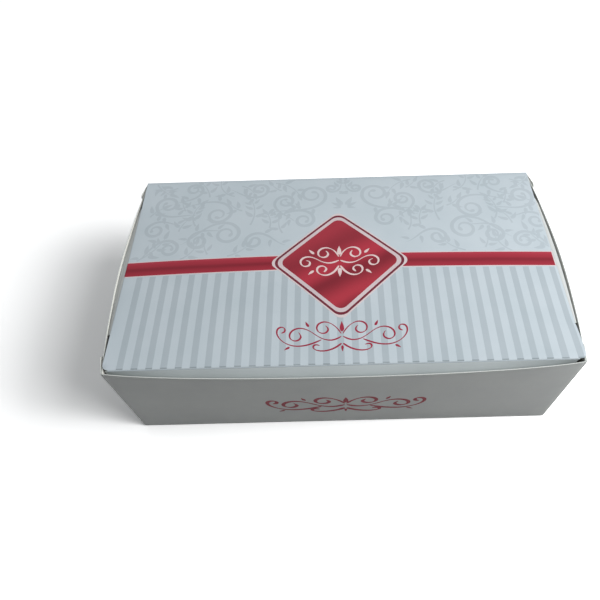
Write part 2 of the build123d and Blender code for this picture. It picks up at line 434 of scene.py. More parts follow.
# Mirrors the sheet to another side of the box, facing outwards again.
def flipSheet(sheet, flipX, flipY):
    pick(sheet)
    sheet.scale = (-1 if flipX else 1, -1 if flipY else 1, 1)
    bpy.ops.object.transform_apply(location=True, rotation=True, scale=True)
    if flipX != flipY:
        turnOver(sheet)


# A copy with its own mesh, mirrored.
def mirrorSheet(sheet, name, flipX, flipY):
    deselectAll()
    copy = sheet.copy()
    copy.data = sheet.data.copy()
    copy.name = name
    bpy.context.scene.collection.objects.link(copy)
    flipSheet(copy, flipX, flipY)
    return copy


# Turns the sheet over if it doesn't face the way that outward points.
def facesOut(sheet, outward):
    total = [0.0, 0.0, 0.0]
    for face in sheet.data.polygons:
        for axis in range(3):
            total[axis] += face.normal[axis] * face.area
    if sum(a * b for a, b in zip(total, outward)) < 0:
        turnOver(sheet)


# Half a millimetre of board behind the printed face, with its edge slightly rounded.
def thickenBoard(sheet, outside, outward):
    facesOut(sheet, outward)
    for key in (outside, "insideBoard", "rawEdge"):
        sheet.data.materials.append(paints[key])
    pick(sheet)
    solid = sheet.modifiers.new("thickness", "SOLIDIFY")
    solid.thickness = carton["board"] * mm
    solid.offset = -1
    solid.use_even_offset = True
    solid.material_offset = 1
    solid.material_offset_rim = 2
    bpy.ops.object.modifier_apply(modifier="thickness")
    soften = sheet.modifiers.new("softEdge", "BEVEL")
    soften.width = carton["edgeRound"] * mm
    soften.segments = 2
    soften.limit_method = "ANGLE"
    soften.angle_limit = math.radians(carton["edgeAngle"])
    bpy.ops.object.modifier_apply(modifier="softEdge")
    bpy.ops.object.shade_smooth_by_angle(angle=math.radians(carton["smoothAngle"]))


# A thin film of ink or dried glue behind its outer face.
def thickenFilm(film, key, thickness):
    film.data.materials.clear()
    film.data.materials.append(paints[key])
    pick(film)
    solid = film.modifiers.new("film", "SOLIDIFY")
    solid.thickness = thickness * mm
    solid.offset = -1
    bpy.ops.object.modifier_apply(modifier="film")


# Attaches the piece to the body that it rides on and hides the frame nodes that it stands in for.
# The slot is not used.
def settle(sheet, body, slot, *replaced):
    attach(sheet, body)
    if replaced:
        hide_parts(*replaced)


# How far the taper of the walls brings them in at a height.
def lean(height):
    return carton["wallTaper"] * (1 - height / carton["wallTop"])


# The part of a top edge's bow that shows at a height.
def share(height):
    return (height - carton["wallFoot"]) / (carton["wallTop"] - carton["wallFoot"])


def bezierMix(t, a, b, c, d):
    u = 1 - t
    return a * u ** 3 + 3 * b * u * u * t + 3 * c * u * t * t + d * t ** 3


# Closes in on the t from 0 to 1 at which a rising function reaches x.
def bracket(x, rising):
    low, high = 0.0, 1.0
    for _ in range(26):
        middle = (low + high) / 2
        if rising(middle) < x:
            low = middle
        else:
            high = middle
    return low, high


# Lid

lid = {
    "freeEdge": 124.8, "rollStart": 124.35, "rollRadius": 1.2, "rollLength": 0.66,
    "earHalf": 48.05, "frontY": -69.89, "rearY": 71.35, "upperZ": 69.95, "crown": 3.3,
    "rippleDepth": 0.1, "cornerRadius": 3.5, "cornerSteps": 8, "flare": 0.9, "flareFrom": 110.0,
    "flareWidth": 14.0, "flareLength": 22.0, "flareEase": 0.4,
}


# The lid's printed face: straight along its four folds and crowned between them.
def lidHeight(x, y):
    middle = (lid["frontY"] + lid["rearY"]) / 2
    half = (lid["rearY"] - lid["frontY"]) / 2
    across = max(0.0, 1 - (x / lid["freeEdge"]) ** 2)
    along = max(0.0, 1 - ((y - middle) / half) ** 2)
    ripple = lid["rippleDepth"] * math.sin(x / 17.0 + 0.6) * math.sin(y / 13.0 + 1.1)
    return lid["upperZ"] + across * along * (lid["crown"] + ripple)


# The free end in front of the right ear flares out a little, as in the photo.
def lidFlare(x, y):
    across = min(1.0, max(0.0, (x - lid["flareFrom"]) / lid["flareWidth"]))
    along = min(1.0, max(0.0, (-y - lid["earHalf"]) / lid["flareLength"]))
    return lid["flare"] * across * across * (3 - 2 * across) * along ** lid["flareEase"]


# Where a point of the flat lid goes; beside the ears the sheet starts to go round the fold.
def lidPlace(x, y):
    over = abs(x) - lid["rollStart"]
    if over <= 0 or abs(y) > lid["earHalf"] + tiny:
        return x + lidFlare(x, y), y, lidHeight(x, y)
    turn = over / lid["rollRadius"]
    reach = lid["rollStart"] + lid["rollRadius"] * math.sin(turn)
    drop = lid["rollRadius"] * (1 - math.cos(turn))
    return math.copysign(reach, x), y, lidHeight(lid["rollStart"], y) - drop


# Cuts along the rolled edges, so that they can bend.
def rollCuts(sheet):
    for side in (-1, 1):
        for bend in (lid["rollStart"], lid["rollStart"] + lid["rollLength"] / 2):
            cutSheet(sheet, (side * bend, 0), (1, 0))


def makeLid():
    half = lid["rollStart"] + lid["rollLength"]
    sheet = addFlatSheet("lidSheet", -half, half, lid["frontY"], lid["rearY"])
    for side in (-1, 1):
        cutSheet(sheet, (side * lid["freeEdge"], 0), (1, 0))
        cutSheet(sheet, (0, side * lid["earHalf"]), (0, 1))
    editSome(sheet, "FACE", lambda x, y: abs(x) > lid["freeEdge"] and abs(y) > lid["earHalf"])
    bpy.ops.mesh.delete(type="FACE")
    leaveEdit()
    roundCorners(
        sheet, lambda x, y: abs(x) > lid["freeEdge"] - tiny and y < lid["frontY"] + tiny,
        lid["cornerRadius"], lid["cornerSteps"])
    gridCuts(sheet)
    rollCuts(sheet)
    shapeSheet(sheet, lidPlace)
    thickenBoard(sheet, "lidInk", (0, 0, 1))
    settle(sheet, "lid", "lid_print", "lid_panel", "left_ear_crease", "right_ear_crease")


makeLid()
print("lid is folded")


# Base and walls

wall = {
    "frontBow": 5.4, "frontFullness": 80.0, "frontColumns": 64, "frontRows": 16,
    "rearCell": 6.0, "baseCell": 12.0,
    "sideStations": (
        (0.0, 5.2), (30.0, 4.15), (44.5, 3.15), (58.0, 1.85), (66.0, 0.9), (71.5, 0.0)),
    "sideSlopes": (0.0, -0.063, -0.08, -0.108, -0.135, -0.19),
    "ripple": 0.14, "rippleEnd": 56.0, "sideGap": 0.05,
}


# The front wall's printed face: straight at its foot, sprung outward along its top.
def frontWallPoint(t, height):
    g = share(height)
    full = wall["frontFullness"]
    xs, ys = [], []
    for level, bow in ((carton["wallFoot"], 0.0), (carton["wallTop"], wall["frontBow"])):
        half = carton["frontHalfTop"] - lean(level)
        edge = -carton["halfDepth"] + lean(level)
        peak = edge - bow * 4 / 3
        xs.append(bezierMix(t, -half, -full, full, half))
        ys.append(bezierMix(t, edge, peak, peak, edge))
    x = xs[0] + (xs[1] - xs[0]) * g
    y = ys[0] + (ys[1] - ys[0]) * g
    ripple = math.sin(math.pi * t) * math.sin(math.pi * g) * math.sin(9.0 * t + 2.0 * g)
    return x, y - wall["ripple"] * ripple


# How far forward the front wall's printed face stands at x and a height.
def frontWallFace(x, height):
    low, high = bracket(x, lambda t: frontWallPoint(t, height)[0])
    return frontWallPoint((low + high) / 2, height)[1]


# The side wall's bow along its top edge, a smooth curve through the stations.
def sideBulge(y):
    y = abs(y)
    stations, slopes = wall["sideStations"], wall["sideSlopes"]
    for (y0, b0), (y1, b1), m0, m1 in zip(stations, stations[1:], slopes, slopes[1:]):
        if y <= y1:
            run = y1 - y0
            t = (y - y0) / run
            return (b0 * (2 * t ** 3 - 3 * t * t + 1) + m0 * run * (t ** 3 - 2 * t * t + t)
                    + b1 * (3 * t * t - 2 * t ** 3) + m1 * run * (t ** 3 - t * t))
    return 0.0


# How far out the side wall's printed face stands at y and a height.
def sideWallFace(y, height):
    ripple = wall["ripple"] * math.sin(y / 11.0) * math.sin(math.pi * share(height))
    quiet = max(0.0, 1 - (y / wall["rippleEnd"]) ** 2)
    return carton["sideFaceX"] - lean(height) + share(height) * sideBulge(y) + ripple * quiet


def makeWalls():
    foot, top = carton["wallFoot"], carton["wallTop"]
    columns, rows = wall["frontColumns"], wall["frontRows"]
    front = addFlatSheet("frontWallSheet", 0, 1000, foot, top)  # in thousandths of its curve
    for step in range(1, columns):
        cutSheet(front, (1000 * step / columns, 0), (1, 0))
    for step in range(1, rows):
        cutSheet(front, (0, foot + (top - foot) * step / rows), (0, 1))
    shapeSheet(front, lambda u, h: (*frontWallPoint(u / 1000, h), h))
    thickenBoard(front, "wallInkPaintedShade", (0, -1, 0))
    settle(front, "tray", "wall_print", "front_wall")

    half = carton["frontHalfTop"]
    rear = addFlatSheet("rearWallSheet", -half, half, foot, top)
    gridCuts(rear, wall["rearCell"])

    def rearPlace(u, h):
        ripple = wall["ripple"] * math.sin(u / 26.0) * math.sin(math.pi * share(h))
        return u * (half - lean(h)) / half, carton["halfDepth"] - lean(h) + ripple, h
    shapeSheet(rear, rearPlace)
    thickenBoard(rear, "wallInkPaintedShade", (0, 1, 0))
    settle(rear, "tray", "wall_print", "rear_wall")

    end = carton["halfDepth"] - carton["board"] - wall["sideGap"]
    right = addFlatSheet("rightWallSheet", -end, end, foot, top)
    gridCuts(right)

    def rightPlace(v, h):
        y = v * (end - lean(h)) / end
        return sideWallFace(y, h), y, h
    shapeSheet(right, rightPlace)
    left = mirrorSheet(right, "leftWallSheet", True, False)
    thickenBoard(right, "wallInkPaintedShade", (1, 0, 0))
    settle(right, "tray", "wall_print", "right_wall")
    thickenBoard(left, "wallInkPaintedShade", (-1, 0, 0))
    settle(left, "tray", "wall_print", "left_wall")

    inset = carton["wallTaper"] + carton["foldGap"]
    halfX, halfY = carton["sideFaceX"] - inset, carton["halfDepth"] - inset
    base = addFlatSheet("baseSheet", -halfX, halfX, -halfY, halfY)
    gridCuts(base, wall["baseCell"])
    shapeSheet(base, lambda x, y: (x, y, 0.0))
    thickenBoard(base, "wallInkPaintedShade", (0, 0, -1))
    settle(base, "tray", "wall_print", "base_panel")


makeWalls()
print("walls and base stand")


# Glue flaps on the outside of the side walls

flap = {
    "width": 14.0, "topWidth": 11.5, "foot": 1.5, "glued": 46.0, "gap": 0.1, "blank": 22.0,
    "inset": 0.3, "corner": 2.2, "cornerSteps": 5, "cell": 2.5, "curl": 1.6,
    "standoff": {"rearRight": 1.6, "rearLeft": 1.6, "frontRight": 0.1, "frontLeft": 1.5},
}
corners = (
    (False, False, "rearRight", "rear_right"), (True, False, "rearLeft", "rear_left"),
    (False, True, "frontRight", "front_right"), (True, True, "frontLeft", "front_left"),
)
glue = {
    "reach": (57.6, 65.6), "heights": (18.0, 43.0), "corner": 3.0, "cornerSteps": 6,
    "cell": 2.5, "thickness": 0.08, "outer": 0.09,
}


def makeGlueFlaps():
    foot, top = carton["wallFoot"], carton["wallTop"]
    depth = carton["halfDepth"]
    flat = addFlatSheet("flapBlank", depth - flap["blank"], depth, foot, top)
    low = (depth - carton["wallTaper"], flap["foot"])
    chamfer = (low[0] - flap["width"], flap["foot"] + flap["width"])
    waist = (depth - flap["width"] - flap["inset"], flap["glued"])
    tip = (depth - flap["topWidth"] - flap["inset"], top)

    def endAt(h):
        return depth - lean(h) - carton["foldGap"]
    fold = ((endAt(top), top), (endAt(foot), foot))
    for a, b in ((low, chamfer), (chamfer, waist), (waist, tip), fold):
        along = (b[0] - a[0], b[1] - a[1])
        cutSheet(flat, a, (-along[1], along[0]), True)
    roundCorners(flat, lambda y, h: y < tip[0] + near and h > top - near,
                 flap["corner"], flap["cornerSteps"])
    gridCuts(flat, flap["cell"])

    # The free tip stands off the side wall
    def place(standoff):
        def bent(y, h):
            inward = (endAt(h) - y) / flap["width"]
            climb = max(0.0, (h - flap["glued"]) / (top - flap["glued"]))
            face = carton["sideFaceX"] - lean(h) + flap["gap"] + carton["board"]
            away = standoff * climb ** flap["curl"] * inward
            return face + away + share(h) * sideBulge(y), y, h
        return bent
    for flipX, flipY, corner, node in corners:
        piece = mirrorSheet(flat, corner + "Flap", False, False)
        shapeSheet(piece, place(flap["standoff"][corner]))
        flipSheet(piece, flipX, flipY)
        thickenBoard(piece, "wallInkPaintedShade", (-1 if flipX else 1, 0, 0))
        settle(piece, "tray", "wall_print", node + "_glue_flap")
    bpy.data.objects.remove(flat)


# The dried glue fills the gap between a flap and its side wall.
def makeGluePatches():
    flat = addFlatSheet("glueBlank", *glue["reach"], *glue["heights"])
    roundCorners(flat, lambda y, h: True, glue["corner"], glue["cornerSteps"])
    gridCuts(flat, glue["cell"])
    shapeSheet(flat, lambda y, h: (
        carton["sideFaceX"] - lean(h) + share(h) * sideBulge(y) + glue["outer"], y, h))
    for flipX, flipY, corner, node in corners:
        piece = mirrorSheet(flat, corner + "Glue", flipX, flipY)
        facesOut(piece, (-1 if flipX else 1, 0, 0))
        thickenFilm(piece, "dryGlue", glue["thickness"])
        settle(piece, "tray", "dry_glue", node + "_glue_patch")
    bpy.data.objects.remove(flat)


makeGlueFlaps()
makeGluePatches()
print("glue flaps are down")


# Tuck flap and ears

tuck = {
    "y": -70.2, "start": 0.36, "depth": 22.0, "halfWidth": 122.0, "shift": -0.9, "slope": 8.0,
    "corner": 12.0, "cornerSteps": 10, "rows": 18, "rowEase": 1.3, "lean": 5.0, "fullness": 0.8,
    "belly": ((0.3, 0.15), (8.1, 2.8), (5.4, 3.9), (1.5, 2.6)),
}
ear = {
    "x": 125.1, "z": 69.7, "half": 48.0, "start": 0.31, "depth": 30.0, "frontSlope": 12.0,
    "rearSlope": 30.0, "corner": 6.0, "cornerSteps": 8, "lean": 12.0, "shoulder": 4.6,
    "shoulderSteps": 9, "drop": 1.6, "tilt": 0.2, "follow": 0.965, "clear": 1.42, "fade": 26.0,
}


# The flap is flat along both sides, and its middle stands out towards the front wall.
def tuckPoint(x, d):
    angle = math.radians(tuck["lean"])
    half, full = tuck["halfWidth"], wall["frontFullness"]
    low, _ = bracket(x, lambda t: bezierMix(t, -half, -full, full, half))
    belly = (4 * low * (1 - low)) ** tuck["fullness"]
    t = (d - tuck["start"]) / (tuck["depth"] - tuck["start"])
    outward = bezierMix(t, *[step[0] for step in tuck["belly"]]) * belly
    upward = bezierMix(t, *[step[1] for step in tuck["belly"]]) * belly
    return (tuck["y"] + d * math.sin(angle) - outward,
            carton["foldZ"] - d * math.cos(angle) + upward)


def makeTuckFlap():
    start, depth, half = tuck["start"], tuck["depth"], tuck["halfWidth"]
    sheet = addFlatSheet("tuckSheet", -half, half, -depth, -start)
    tilt = math.tan(math.radians(tuck["slope"]))
    for side in (-1, 1):
        cutSheet(sheet, (side * half, -start), (side, -tilt), True)
    roundCorners(sheet, lambda x, y: y < -depth + near, tuck["corner"], tuck["cornerSteps"])
    for step in range(1, tuck["rows"]):
        down = (depth - start) * (step / tuck["rows"]) ** tuck["rowEase"]
        cutSheet(sheet, (0, -start - down), (0, 1))
    gridCuts(sheet, axes=(0,))

    def place(x, d):
        y, z = tuckPoint(x, -d)
        y1, z1 = tuckPoint(x, -d + tiny)
        length = math.hypot(y1 - y, z1 - z)
        face = carton["board"] / 2 / length
        return x + tuck["shift"], y + (z1 - z) * face, z - (y1 - y) * face
    shapeSheet(sheet, place)
    thickenBoard(sheet, "plainInk", (0, -1, 0))
    settle(sheet, "tuck_flap", "lid_print", "tuck_flap")


def makeEars():
    start, depth, half = ear["start"], ear["depth"], ear["half"]
    right = addFlatSheet("rightEarSheet", -half, half, -depth, -start)
    frontTilt = math.tan(math.radians(ear["frontSlope"]))
    rearTilt = 1 / math.tan(math.radians(ear["rearSlope"]))
    cutSheet(right, (-half, -start), (-1, -frontTilt), True)
    cutSheet(right, (half, -start), (1, -rearTilt), True)
    roundCorners(right, lambda y, d: d < -depth + near, ear["corner"], ear["cornerSteps"])
    gridCuts(right)
    for step in range(1, ear["shoulderSteps"] + 1):
        cutSheet(right, (0, -ear["shoulder"] * step / ear["shoulderSteps"]), (0, 1))
    angle = math.radians(ear["lean"])

    # A rounded shoulder out to the bowed wall, and below it the ear comes back to hang straight
    def place(y, d):
        down = -d - start
        reach = max(0.0, ear["follow"] * sideBulge(y) - ear["clear"])
        if down < ear["shoulder"]:
            turn = math.pi / 2 * down / ear["shoulder"]
            fall = ear["drop"] * (1 - math.cos(turn)) + ear["tilt"] * reach * math.sin(turn)
            return ear["x"] + reach * math.sin(turn), y, ear["z"] - fall
        rest = down - ear["shoulder"]
        back = (1 - math.cos(math.pi * min(1.0, rest / ear["fade"]))) / 2
        fall = ear["drop"] + ear["tilt"] * reach + rest * math.cos(angle)
        return ear["x"] + reach * (1 - back) - rest * math.sin(angle) * back, y, ear["z"] - fall
    shapeSheet(right, place)
    left = mirrorSheet(right, "leftEarSheet", True, False)
    thickenBoard(right, "earInk", (1, 0, 0))
    settle(right, "right_ear", "lid_print", "right_ear")
    thickenBoard(left, "earInk", (-1, 0, 0))
    settle(left, "left_ear", "lid_print", "left_ear")


makeTuckFlap()
makeEars()
print("tuck flap and ears hang")


# Ink on the lid, and painted shade along its front fold

ink = {
    "thickness": 0.05, "cell": 4.0, "stripeHeight": 0.015, "scrollHeight": 0.015,
    "ribbonHeight": 0.025, "haloHeight": 0.045, "layer": 0.012, "tickHeight": 0.022,
    "penHeight": 0.035, "ornamentHeight": 0.105,
}
stripes = {
    "pitch": 7.66, "width": 3.5, "middle": -0.6, "count": 32, "low": -69.6, "high": -8.9,
    "margin": 1.4, "tickLow": 0.04, "tickHigh": 0.75,
}
ribbon = {"low": -8.5, "high": 2.95, "line": 0.6, "endInset": 0.12, "lineRise": 0.002}
badge = {
    "x": 0.1,
    "y": -2.9,
    "cornerSteps": 10,
    "layers": (
        ("badgeHalo", 28.95, 4.2, "paleLine"), ("badgeLine", 28.1, 5.6, "darkLine"),
        ("badgeSilver", 26.8, 5.2, "silverBand"), ("badgeRed", 24.7, 4.5, "badgeSatin"),
    ),
}


# Lays a flat film on the lid and gives it a little thickness.
def layInk(film, height, key):
    for point in film.data.vertices:
        x, y, z = lidPlace(point.co.x / mm, point.co.y / mm)
        point.co = (x * mm, y * mm, point.co.z + (z + height) * mm)
    film.data.update()
    facesOut(film, (0, 0, 1))
    thickenFilm(film, key, ink["thickness"])
    settle(film, "lid", "lid_print")


# A row of bars across the lid, cut off short of both ends.
def makeStripes(name, low, high, height, key):
    first = stripes["middle"] - stripes["pitch"] * ((stripes["count"] - 1) // 2)
    half = stripes["width"] / 2
    bar = addFlatSheet(name, first - half, first + half, low, high)
    gridCuts(bar, ink["cell"])
    pick(bar)
    row = bar.modifiers.new("row", "ARRAY")
    row.use_relative_offset = False
    row.use_constant_offset = True
    row.constant_offset_displace = (stripes["pitch"] * mm, 0, 0)
    row.count = stripes["count"]
    bpy.ops.object.modifier_apply(modifier="row")
    edge = lid["freeEdge"] - stripes["margin"]
    for side in (-1, 1):
        cutSheet(bar, (side * edge, 0), (side, 0), True)
    layInk(bar, height, key)


def makeRibbon():
    edge = lid["rollStart"] + lid["rollLength"] - ribbon["endInset"]
    low, high, line, rise = ribbon["low"], ribbon["high"], ribbon["line"], ribbon["lineRise"]
    parts = (
        ("ribbonInk", -edge, edge - line, low + line, high - line, "ribbonSatin", 0.0),
        ("ribbonLowerLine", -edge, edge, low, low + line, "paleLine", rise),
        ("ribbonUpperLine", -edge, edge, high - line, high, "paleLine", rise),
        ("ribbonEndLine", edge - line, edge, low + line, high - line, "paleLine", rise),
    )
    for name, x0, x1, y0, y1, key, extra in parts:
        film = addFlatSheet(name, x0, x1, y0, y1)
        gridCuts(film, ink["cell"])
        rollCuts(film)
        layInk(film, ink["ribbonHeight"] + extra, key)


# A square with round corners, standing on one of them, in the middle of the lid.
def roundedSquare(name, half, radius, height, key):
    film = addFlatSheet(name, -half, half, -half, half)
    roundCorners(film, lambda x, y: True, radius, badge["cornerSteps"])
    gridCuts(film, ink["cell"])
    turn = math.sqrt(0.5)
    shapeSheet(film, lambda x, y: (
        badge["x"] + (x - y) * turn, badge["y"] + (x + y) * turn, 0))
    layInk(film, height, key)


def makeBadge():
    for number, (name, half, radius, key) in enumerate(badge["layers"]):
        roundedSquare(name, half, radius, ink["haloHeight"] + number * ink["layer"], key)


makeStripes("stripeInk", stripes["low"], stripes["high"], ink["stripeHeight"], "shadowInk")
# The stripes carried over the front fold, painted darker there: painted shade for the fold's curve.
makeStripes("foldShadeTicks", lid["frontY"] + stripes["tickLow"], lid["frontY"] + stripes["tickHigh"],
            ink["tickHeight"], "foldShadeTone")
makeRibbon()
makeBadge()
print("stripes, ribbon and badge are printed")


# Scrollwork and flourishes, drawn as pen strokes

# Every curl is x, y, radius, where it opens in degrees, hand, length of its stem and how far the
# stem sways back. Every spray is x, y, heading, length, bend, pairs of leaves and their length.
# Both are drawn on the right of the axis and mirrored to its left.
scroll = {
    "place": (4.2, 0.0), "nib": 1.15, "pen": "scrollInk", "leafOn": (0.66, 0.78, 0.9),
    "leafSize": 7.2, "sideMargin": 0.6, "endMargin": 0.3,
    "curls": (
        (20, 55, 8.2, 180, 1, 44, 1.5), (37, 49, 6.0, 20, -1, 26, 1.5),
        (54, 62, 5.4, 200, 1, 30, 1.3), (79, 39, 6.8, 215, -1, 46, 1.22),
        (112, 50, 7.4, 330, -1, 30, 1.5), (117, 28, 6.0, 60, 1, 20, 1.5),
        (106, 12, 5.6, 120, -1, 30, 1.5), (89, 17, 6.2, 40, 1, 22, 1.5),
        (72, 22, 8.0, 130, -1, 40, 1.45), (55, 15, 5.4, 60, 1, 26, 1.6),
        (25, 31.5, 6.2, 150, -1, 30, 1.4), (97, 64, 5.0, 160, 1, 26, 1.4),
        (7.5, 61, 3.6, 250, -1, 12, 1.3),
    ),
    "sprays": (
        (92, 30, 60, 20, 70, 3, 7.0), (44, 68, 190, 20, 60, 2, 7.5), (70, 56, 20, 20, 80, 2, 7.2),
        (86, 56, 80, 14, -30, 2, 7.0), (122, 70, 240, 14, -30, 2, 7.0),
        (124, 4, 150, 22, -40, 3, 7.6), (98, 3, 150, 15, -50, 2, 6.5),
        (58, 29, 110, 24, -50, 3, 7.6), (70, 4, 165, 14, -40, 2, 6.5),
        (122, 40, 120, 10, 30, 1, 7.0), (38, 21, 60, 12, 40, 1, 6.5),
        (66, 66, 200, 12, 50, 2, 6.5), (64, 42, 20, 10, 40, 1, 7.0), (46, 26, 100, 12, -40, 2, 6.5),
        (40, 60, 30, 8, 30, 1, 6.5), (82, 6, 60, 8, 20, 1, 6.0), (102, 26, 100, 10, 30, 1, 7.0),
        (100, 44, 60, 8, 20, 1, 6.5), (108, 66, 330, 10, 40, 2, 6.0), (28, 42, 40, 6, 0, 1, 5.5),
    ),
    "fans": ((0, 43, 9.0), (0, 67, 5.0)),
}
badgeOrnament = {
    "place": (0.1, -2.3), "nib": 0.62, "pen": "silverInk",
    "swashes": (
        ((0.4, 2.6), (2.4, 7.4), (7.4, 10.6), (12.4, 8.4), (12.6, 3.2), (8.4, 1.6), (5.8, 4.6),
         (7.8, 7.4)),
        ((0.4, -0.2), (5.0, -2.6), (10.2, -1.4), (14.4, 2.4), (19.6, 3.8), (23.4, 0.4),
         (21.6, -4.4), (17.2, -4.0), (16.8, -0.4), (19.4, 0.4)),
        ((0.4, -4.2), (3.0, -9.0), (8.0, -11.8), (13.2, -9.4), (13.2, -4.6), (9.2, -3.6),
         (7.0, -6.6), (9.2, -8.6)),
    ),
    "leaves": ((0, 4.0, 90, 6.8, 0), (0, -5.8, 270, 6.4, 0), (14.6, 5.2, 48, 4.6, 15),
               (14.8, -7.4, 318, 4.4, -15)),
}
lidFlourish = {
    "place": (0.2, -52.4), "nib": 0.5, "pen": "redPen",
    "swashes": (
        ((0.4, -1.2), (5.0, -4.0), (11.2, -2.6), (16.4, 2.2), (21.8, 5.0), (27.4, 3.2),
         (28.6, -1.6), (24.6, -4.2), (21.0, -1.4), (23.2, 1.8)),
        ((11.0, -3.0), (17.4, -6.0), (25.0, -7.0), (31.4, -4.2), (35.2, 0.8), (34.6, 5.2),
         (30.8, 5.6), (30.0, 2.4), (32.4, 1.6)),
        ((0.4, 0.4), (3.2, 5.2), (8.8, 8.8), (13.8, 6.4), (13.4, 1.6), (9.0, 0.2), (6.6, 3.2),
         (8.8, 5.6)),
        ((0.4, -5.4), (4.4, -8.6), (10.8, -10.2), (16.0, -8.4), (15.0, -5.4), (11.8, -6.4)),
    ),
    "leaves": ((0, 1.6, 90, 6.4, 0), (0, -6.6, 270, 3.6, 0), (17.6, 5.0, 62, 3.8, 20),
               (27.6, -7.0, 330, 3.4, -20)),
}
wallFlourish = {
    **lidFlourish, "place": (1.4, 30.2), "scale": 1.27, "nib": 0.92, "pen": "wallPen",
}
pen = {"step": 0.9, "stack": 0.002, "stackSteps": 5, "rise": 0.003}
curlPen = {
    "turns": 1.3, "eye": 0.26, "finest": 7, "fewest": 12, "opening": 0.9, "stemBend": 0.95,
    "thin": 0.12, "swell": 0.85, "taper": 1.1, "dot": 0.04, "dotSize": 1.05,
    "nib": 0.8, "nibGrowth": 0.03, "leafGap": 1.3, "leafGrowth": 1.25,
}
leafPen = {
    "points": 8, "tip": 0.04, "fullest": 0.62, "fullness": 0.9, "width": 0.185,
    "lean": 50.0, "bend": 35.0,
}
sprayPen = {
    "points": 14, "width": 0.5, "thinning": 0.6, "firstPair": 0.3, "pairSpan": 0.55,
    "pairShrink": 0.15, "leafGap": 0.9, "tipBend": 10.0,
}
swashPen = {"samples": 9, "shortest": 0.02, "slant": 35.0, "thin": 0.42, "fade": 8, "end": 0.25}
fanPen = {"leaves": ((28, 0.95), (62, 0.8), (98, 0.62)), "start": 0.2, "bend": 25}


# A spiral from its eye outwards, and then its stem, which straightens and sways back.
def drawCurl(x, y, radius, opens, hand, stem, sway, nib):
    step = min(pen["step"], radius / curlPen["finest"])
    eye, total = curlPen["eye"] * radius, curlPen["turns"] * 2 * math.pi
    count = max(curlPen["fewest"], int((radius + eye) / 2 * total / step))
    path = []
    for i in range(count + 1):
        part = i / count
        reach = eye + (radius - eye) * part ** curlPen["opening"]
        angle = math.radians(opens) - hand * total * (1 - part)
        path.append((x + reach * math.cos(angle), y + reach * math.sin(angle)))
    (beforeX, beforeY), (x, y) = path[-2:]
    heading = math.atan2(y - beforeY, x - beforeX)
    count = int(stem / step)
    for i in range(count):
        bend = hand / radius * (1 - i / count * sway) * curlPen["stemBend"]
        x += math.cos(heading) * step
        y += math.sin(heading) * step
        heading += bend * step
        path.append((x, y))
    stroke, thin, dot = [], curlPen["thin"], curlPen["dot"]
    for i, (x, y) in enumerate(path):
        t = i / (len(path) - 1)
        swell = math.sin(math.pi * t ** curlPen["swell"]) ** curlPen["taper"]
        half = nib * (thin + (1 - thin) * swell)
        if t < 2 * dot:
            ball = math.sqrt(max(0, 1 - ((t - dot) / dot) ** 2))
            half = max(half, nib * curlPen["dotSize"] * ball)
        stroke.append((x, y, half))
    return stroke


def drawLeaf(x, y, heading, length, bend):
    heading = math.radians(heading - bend / 2)
    stroke, count = [], leafPen["points"]
    for i in range(count + 1):
        swell = max(leafPen["tip"], math.sin(math.pi * (i / count) ** leafPen["fullest"]))
        stroke.append((x, y, length * leafPen["width"] * swell ** leafPen["fullness"]))
        x += math.cos(heading) * length / count
        y += math.sin(heading) * length / count
        heading += math.radians(bend) / count
    return stroke


# A leaf beside the stroke, just clear of it.
def leafBeside(stroke, i, side, size, gap):
    (beforeX, beforeY, _), (x, y, _) = stroke[i - 1:i + 1]
    angle = math.atan2(y - beforeY, x - beforeX) + side * math.radians(leafPen["lean"])
    return drawLeaf(x + math.cos(angle) * gap, y + math.sin(angle) * gap,
                    math.degrees(angle), size, -side * leafPen["bend"])


# A thin stem with pairs of leaves along it and one at its tip.
def drawSpray(x, y, heading, length, bend, pairs, size, nib):
    heading, count, stem = math.radians(heading), sprayPen["points"], []
    for i in range(count + 1):
        thinner = 1 - sprayPen["thinning"] * i / count
        stem.append((x, y, nib * sprayPen["width"] * thinner))
        x += math.cos(heading) * length / count
        y += math.sin(heading) * length / count
        heading += math.radians(bend) / count
    strokes = [stem]
    for pair in range(pairs):
        along = sprayPen["firstPair"] + sprayPen["pairSpan"] * pair / max(1, pairs - 1)
        smaller = size * (1 - sprayPen["pairShrink"] * pair)
        for side in (1, -1):
            strokes.append(leafBeside(
                stem, int(count * along), side, smaller, nib * sprayPen["leafGap"]))
    x, y, _ = stem[-1]
    strokes.append(drawLeaf(x, y, math.degrees(heading), size, sprayPen["tipBend"]))
    return strokes


# A written line: a smooth curve along the points, thin and thick as a slanted nib draws it.
def drawSwash(points, nib):
    points = [points[0]] * 2 + list(points) + [points[-1]] * 2
    path = []
    for four in zip(points, points[1:], points[2:], points[3:]):
        for i in range(swashPen["samples"]):
            t = i / swashPen["samples"]
            mix = ((1 - t) ** 3, 3 * t ** 3 - 6 * t * t + 4,
                   -3 * t ** 3 + 3 * t * t + 3 * t + 1, t ** 3)
            path.append(tuple(
                sum(m * place[axis] for m, place in zip(mix, four)) / 6 for axis in (0, 1)))
    path = [here for here, after in zip(path, path[1:])
            if math.dist(here, after) > swashPen["shortest"]]
    stroke, thin, end = [], swashPen["thin"], swashPen["end"]
    for i, (x, y) in enumerate(path):
        (x0, y0), (x1, y1) = path[max(0, i - 1)], path[min(len(path) - 1, i + 1)]
        heading = math.atan2(y1 - y0, x1 - x0)
        turned = abs(math.sin(heading - math.radians(swashPen["slant"])))
        nearest = min(i, len(path) - 1 - i)
        fade = min(1, swashPen["fade"] * nearest / len(path))
        stroke.append((x, y, nib * (thin + (1 - thin) * turned) * (end + (1 - end) * fade)))
    return stroke


